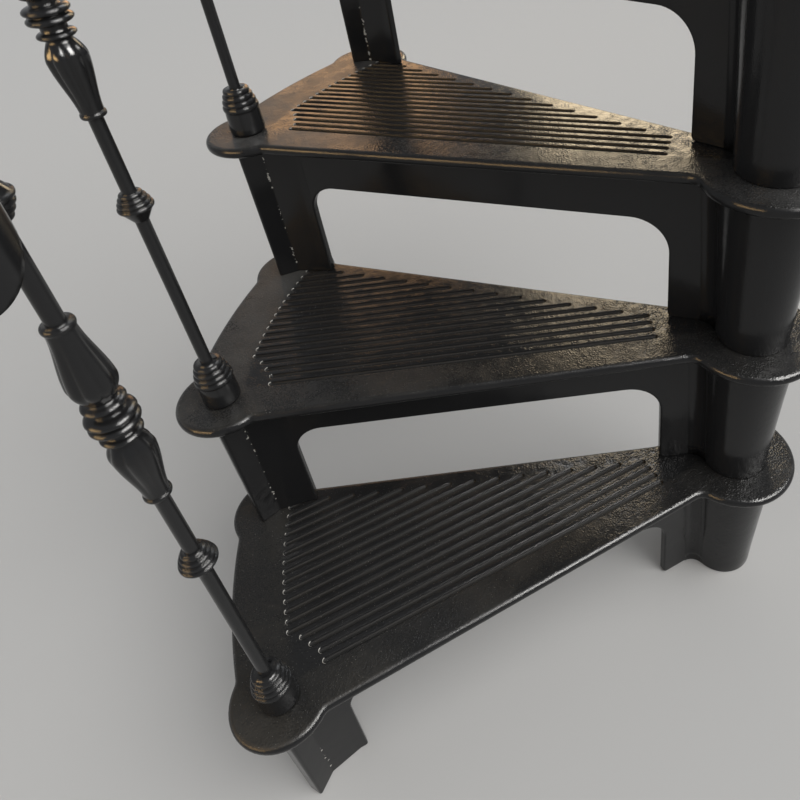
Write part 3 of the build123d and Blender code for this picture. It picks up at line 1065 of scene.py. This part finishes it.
def set_in_bays(name, node, mesh, material, turn, offset=0.0):
    """Casting in place of each bay's CAD node; its own mesh is moved, so that its box is true."""
    outwards = Matrix.Translation((offset, 0, 0))
    for bay in range(1, BAYS + 1):
        spin = Matrix.Rotation(-(bay - 1) * turn, 4, "Z")
        moved = mesh.copy()
        moved.name = f"{name}_{bay}"
        moved.transform(Matrix.Translation((0, 0, bay * RISE)) @ spin @ outwards)
        moved.materials.append(material)
        piece = new_object(f"{name}_{bay}", moved)
        normals = piece.modifiers.new("flat_faces_first", "WEIGHTED_NORMAL")
        normals.keep_sharp = True
        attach(piece, "root")
        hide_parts(f"{node}_{bay}")
    bpy.data.meshes.remove(mesh)


class STAIR_OT_treads(bpy.types.Operator):
    """Set a cast tread in every bay"""

    bl_idname = "stair.treads"
    bl_label = "Tread castings"

    def execute(self, context):
        sizes = context.scene.stair_treads
        material = paints(context.scene.stair_paint)["painted_casting"]
        set_in_bays("tread_casting", "tread", tread_mesh(sizes), material, sizes.turn)
        return {"FINISHED"}


class STAIR_OT_balusters(bpy.types.Operator):
    """Stand a turned baluster on every tread"""

    bl_idname = "stair.balusters"
    bl_label = "Turned balusters"

    def execute(self, context):
        treads = context.scene.stair_treads
        material = paints(context.scene.stair_paint)["painted_baluster"]
        mesh = baluster_mesh(context.scene.stair_balusters)
        offset = lobe_x(treads) + BALUSTER_SHIFT
        set_in_bays("turned_baluster", "baluster", mesh, material, treads.turn, offset)
        return {"FINISHED"}


class STAIR_OT_steelwork(bpy.types.Operator):
    """Paint the handrail lengths and the newel tube"""

    bl_idname = "stair.steelwork"
    bl_label = "Handrail and newel tube"

    def execute(self, context):
        material = paints(context.scene.stair_paint)["painted_rail"]
        for name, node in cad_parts.items():
            if name.startswith(("handrail", "newel")):
                node.data.materials.clear()
                node.data.materials.append(material)
        return {"FINISHED"}


# Stage: floor, sky, soft light from above, and soft boxes that only the gloss shows, each as
# azimuth and elevation in degrees, distance, width, height, brightness and colour
FLOOR_HALF = 30.0
FLOOR_ROUGHNESS, FLOOR_SHINE = 0.9, 0.2
SKY_COLOUR = (0.95, 0.97, 1.0, 1.0)
SUN_AZIMUTH, SUN_ELEVATION = 128.0, 52.0
SUN_SOFTNESS = 50.0
PANEL_AIM = (0.25, -0.15, 0.45)
PANELS = {
    "tall_soft_box": (231, 30, 3.0, 0.85, 1.7, 9.5, (1.0, 0.80, 0.52)),
    "high_soft_box": (229, 54, 3.0, 0.8, 1.0, 11.0, (0.94, 0.97, 1.0)),
    "low_warm_box": (261, 22, 3.0, 0.95, 0.9, 3.5, (1.0, 0.54, 0.22)),
    "front_strip": (124, 42, 3.2, 2.3, 1.2, 42.0, (1.0, 0.98, 0.95)),
    "side_strip": (18, 19, 3.2, 2.2, 0.6, 24.0, (1.0, 0.64, 0.28)),
}


def floor_material(look):
    """Plain pale floor that isn't seen from below."""
    material, nodes, shader = new_material("pale_floor")
    shader.inputs["Base Color"].default_value = (*look.floor, 1.0)
    shader.inputs["Roughness"].default_value = FLOOR_ROUGHNESS
    shader.inputs["Specular IOR Level"].default_value = FLOOR_SHINE
    clear = nodes.add("ShaderNodeBsdfTransparent")
    below = nodes.add("ShaderNodeNewGeometry").outputs["Backfacing"]
    mixed = nodes.add("ShaderNodeMixShader")
    for socket, value in zip(mixed.inputs, (below, shader.outputs[0], clear.outputs[0])):
        nodes.feed(socket, value)
    nodes.feed(nodes.tree.nodes["Material Output"].inputs["Surface"], mixed.outputs[0])
    return material


def toward(azimuth, elevation):
    """Direction given by its azimuth and elevation in degrees."""
    around, up = math.radians(azimuth), math.radians(elevation)
    return Vector((math.cos(up) * math.cos(around), math.cos(up) * math.sin(around), math.sin(up)))


def look_at(place, aim):
    """Matrix of a lamp at a place that shines at a point."""
    way = Vector(aim) - place
    return Matrix.Translation(place) @ way.to_track_quat("-Z", "Y").to_matrix().to_4x4()


def add_lamp(name, kind, place, strength, colour=(1.0, 1.0, 1.0)):
    """Lamp of a kind at a place."""
    lamp = bpy.data.lights.new(name, kind)
    lamp.energy = strength
    lamp.color = colour
    holder = new_object(name, lamp)
    holder.matrix_world = place
    return holder


def add_camera():
    """Camera at the photograph's place, with the lens axis where the photograph has it."""
    lens = bpy.data.cameras.new("photo_camera")
    lens.sensor_width = SENSOR
    lens.lens = CAMERA_FOCUS / PICTURE * SENSOR
    lens.shift_x = (PICTURE / 2 - CAMERA_AXIS[0]) / PICTURE
    lens.shift_y = (CAMERA_AXIS[1] - PICTURE / 2) / PICTURE
    lens.clip_start = CAMERA_NEAR
    camera = new_object("photo_camera", lens)
    place = Matrix.Translation(CAMERA_PLACE)
    for axis, degrees in (("Z", CAMERA_HEADING), ("X", 90 + CAMERA_TILT), ("Z", CAMERA_ROLL)):
        place = place @ Matrix.Rotation(math.radians(degrees), 4, axis)
    camera.matrix_world = place
    bpy.context.scene.camera = camera


def add_floor(look):
    """Level floor under the stair."""
    half = FLOOR_HALF
    corners = [(-half, -half, 0), (half, -half, 0), (half, half, 0), (-half, half, 0)]
    mesh = bpy.data.meshes.new("floor")
    mesh.from_pydata(corners, [], [(0, 1, 2, 3)])
    mesh.materials.append(floor_material(look))
    floor = new_object("floor", mesh)


def add_sky(look):
    """Even light from all sides, and a plain backdrop for the camera and for gloss."""
    scene = bpy.context.scene
    scene.world = scene.world or bpy.data.worlds.new("even_light")
    scene.world.use_nodes = True
    nodes = Nodes(scene.world.node_tree)
    sky = scene.world.node_tree.nodes["Background"]
    sky.inputs["Color"].default_value = SKY_COLOUR
    path = nodes.add("ShaderNodeLightPath").outputs
    clear = nodes.math("MAXIMUM", path["Is Glossy Ray"], path["Is Transmission Ray"])
    seen = nodes.math("MAXIMUM", path["Is Camera Ray"], clear)
    backdrop = nodes.product(seen, look.backdrop - look.sky)
    nodes.feed(sky.inputs["Strength"], nodes.math("ADD", backdrop, look.sky))


def add_lights(look):
    """Soft main light, and the soft boxes round the stair."""
    above = look_at(toward(SUN_AZIMUTH, SUN_ELEVATION), (0, 0, 0))
    sun = add_lamp("soft_sun", "SUN", above, look.sun)
    sun.data.angle = math.radians(SUN_SOFTNESS)
    for name, (azimuth, elevation, distance, width, height, bright, colour) in PANELS.items():
        place = Vector(PANEL_AIM) + distance * toward(azimuth, elevation)
        power = look.panels * bright * math.pi * width * height
        panel = add_lamp(name, "AREA", look_at(place, PANEL_AIM), power, colour)
        panel.data.shape, panel.data.size, panel.data.size_y = "RECTANGLE", width, height
        panel.visible_diffuse = False


class STAIR_OT_stage(bpy.types.Operator):
    """Lay a plain floor, hang the lights and place the camera"""

    bl_idname = "stair.stage"
    bl_label = "Floor, light and camera"

    def execute(self, context):
        look = context.scene.stair_stage
        add_floor(look)
        add_sky(look)
        add_lights(look)
        add_camera()
        context.scene.view_settings.view_transform = "Standard"
        return {"FINISHED"}


class STAIR_PT_panel(bpy.types.Panel):
    """Panel that lists the staircase's pieces"""

    bl_label = "Spiral staircase"
    bl_idname = "STAIR_PT_panel"
    bl_space_type = "VIEW_3D"
    bl_region_type = "UI"
    bl_category = "Staircase"

    def draw(self, context):
        for owner in GROUPS:
            box = self.layout.box()
            group = getattr(context.scene, owner)
            for key in group.bl_rna.properties.keys():
                if key not in ("rna_type", "name"):
                    box.prop(group, key)
        for operator in OPERATORS:
            self.layout.operator(operator.bl_idname)


GROUPS = {
    "stair_treads": TreadSizes,
    "stair_balusters": BalusterSizes,
    "stair_paint": PaintLook,
    "stair_stage": StageLook,
}
OPERATORS = (STAIR_OT_treads, STAIR_OT_balusters, STAIR_OT_steelwork, STAIR_OT_stage)


def register():
    """Register the properties, the operators and the panel."""
    for owner, group in GROUPS.items():
        bpy.utils.register_class(group)
        setattr(bpy.types.Scene, owner, PointerProperty(type=group))
    for made in (*OPERATORS, STAIR_PT_panel):
        bpy.utils.register_class(made)


def unregister():
    """Take everything out again."""
    for made in (STAIR_PT_panel, *reversed(OPERATORS)):
        bpy.utils.unregister_class(made)
    for owner, group in GROUPS.items():
        delattr(bpy.types.Scene, owner)
        bpy.utils.unregister_class(group)


def main():
    """Build the stair's looks."""
    register()
    bpy.ops.stair.treads()
    bpy.ops.stair.balusters()
    bpy.ops.stair.steelwork()
    bpy.ops.stair.stage()


if __name__ == "__main__":
    main()
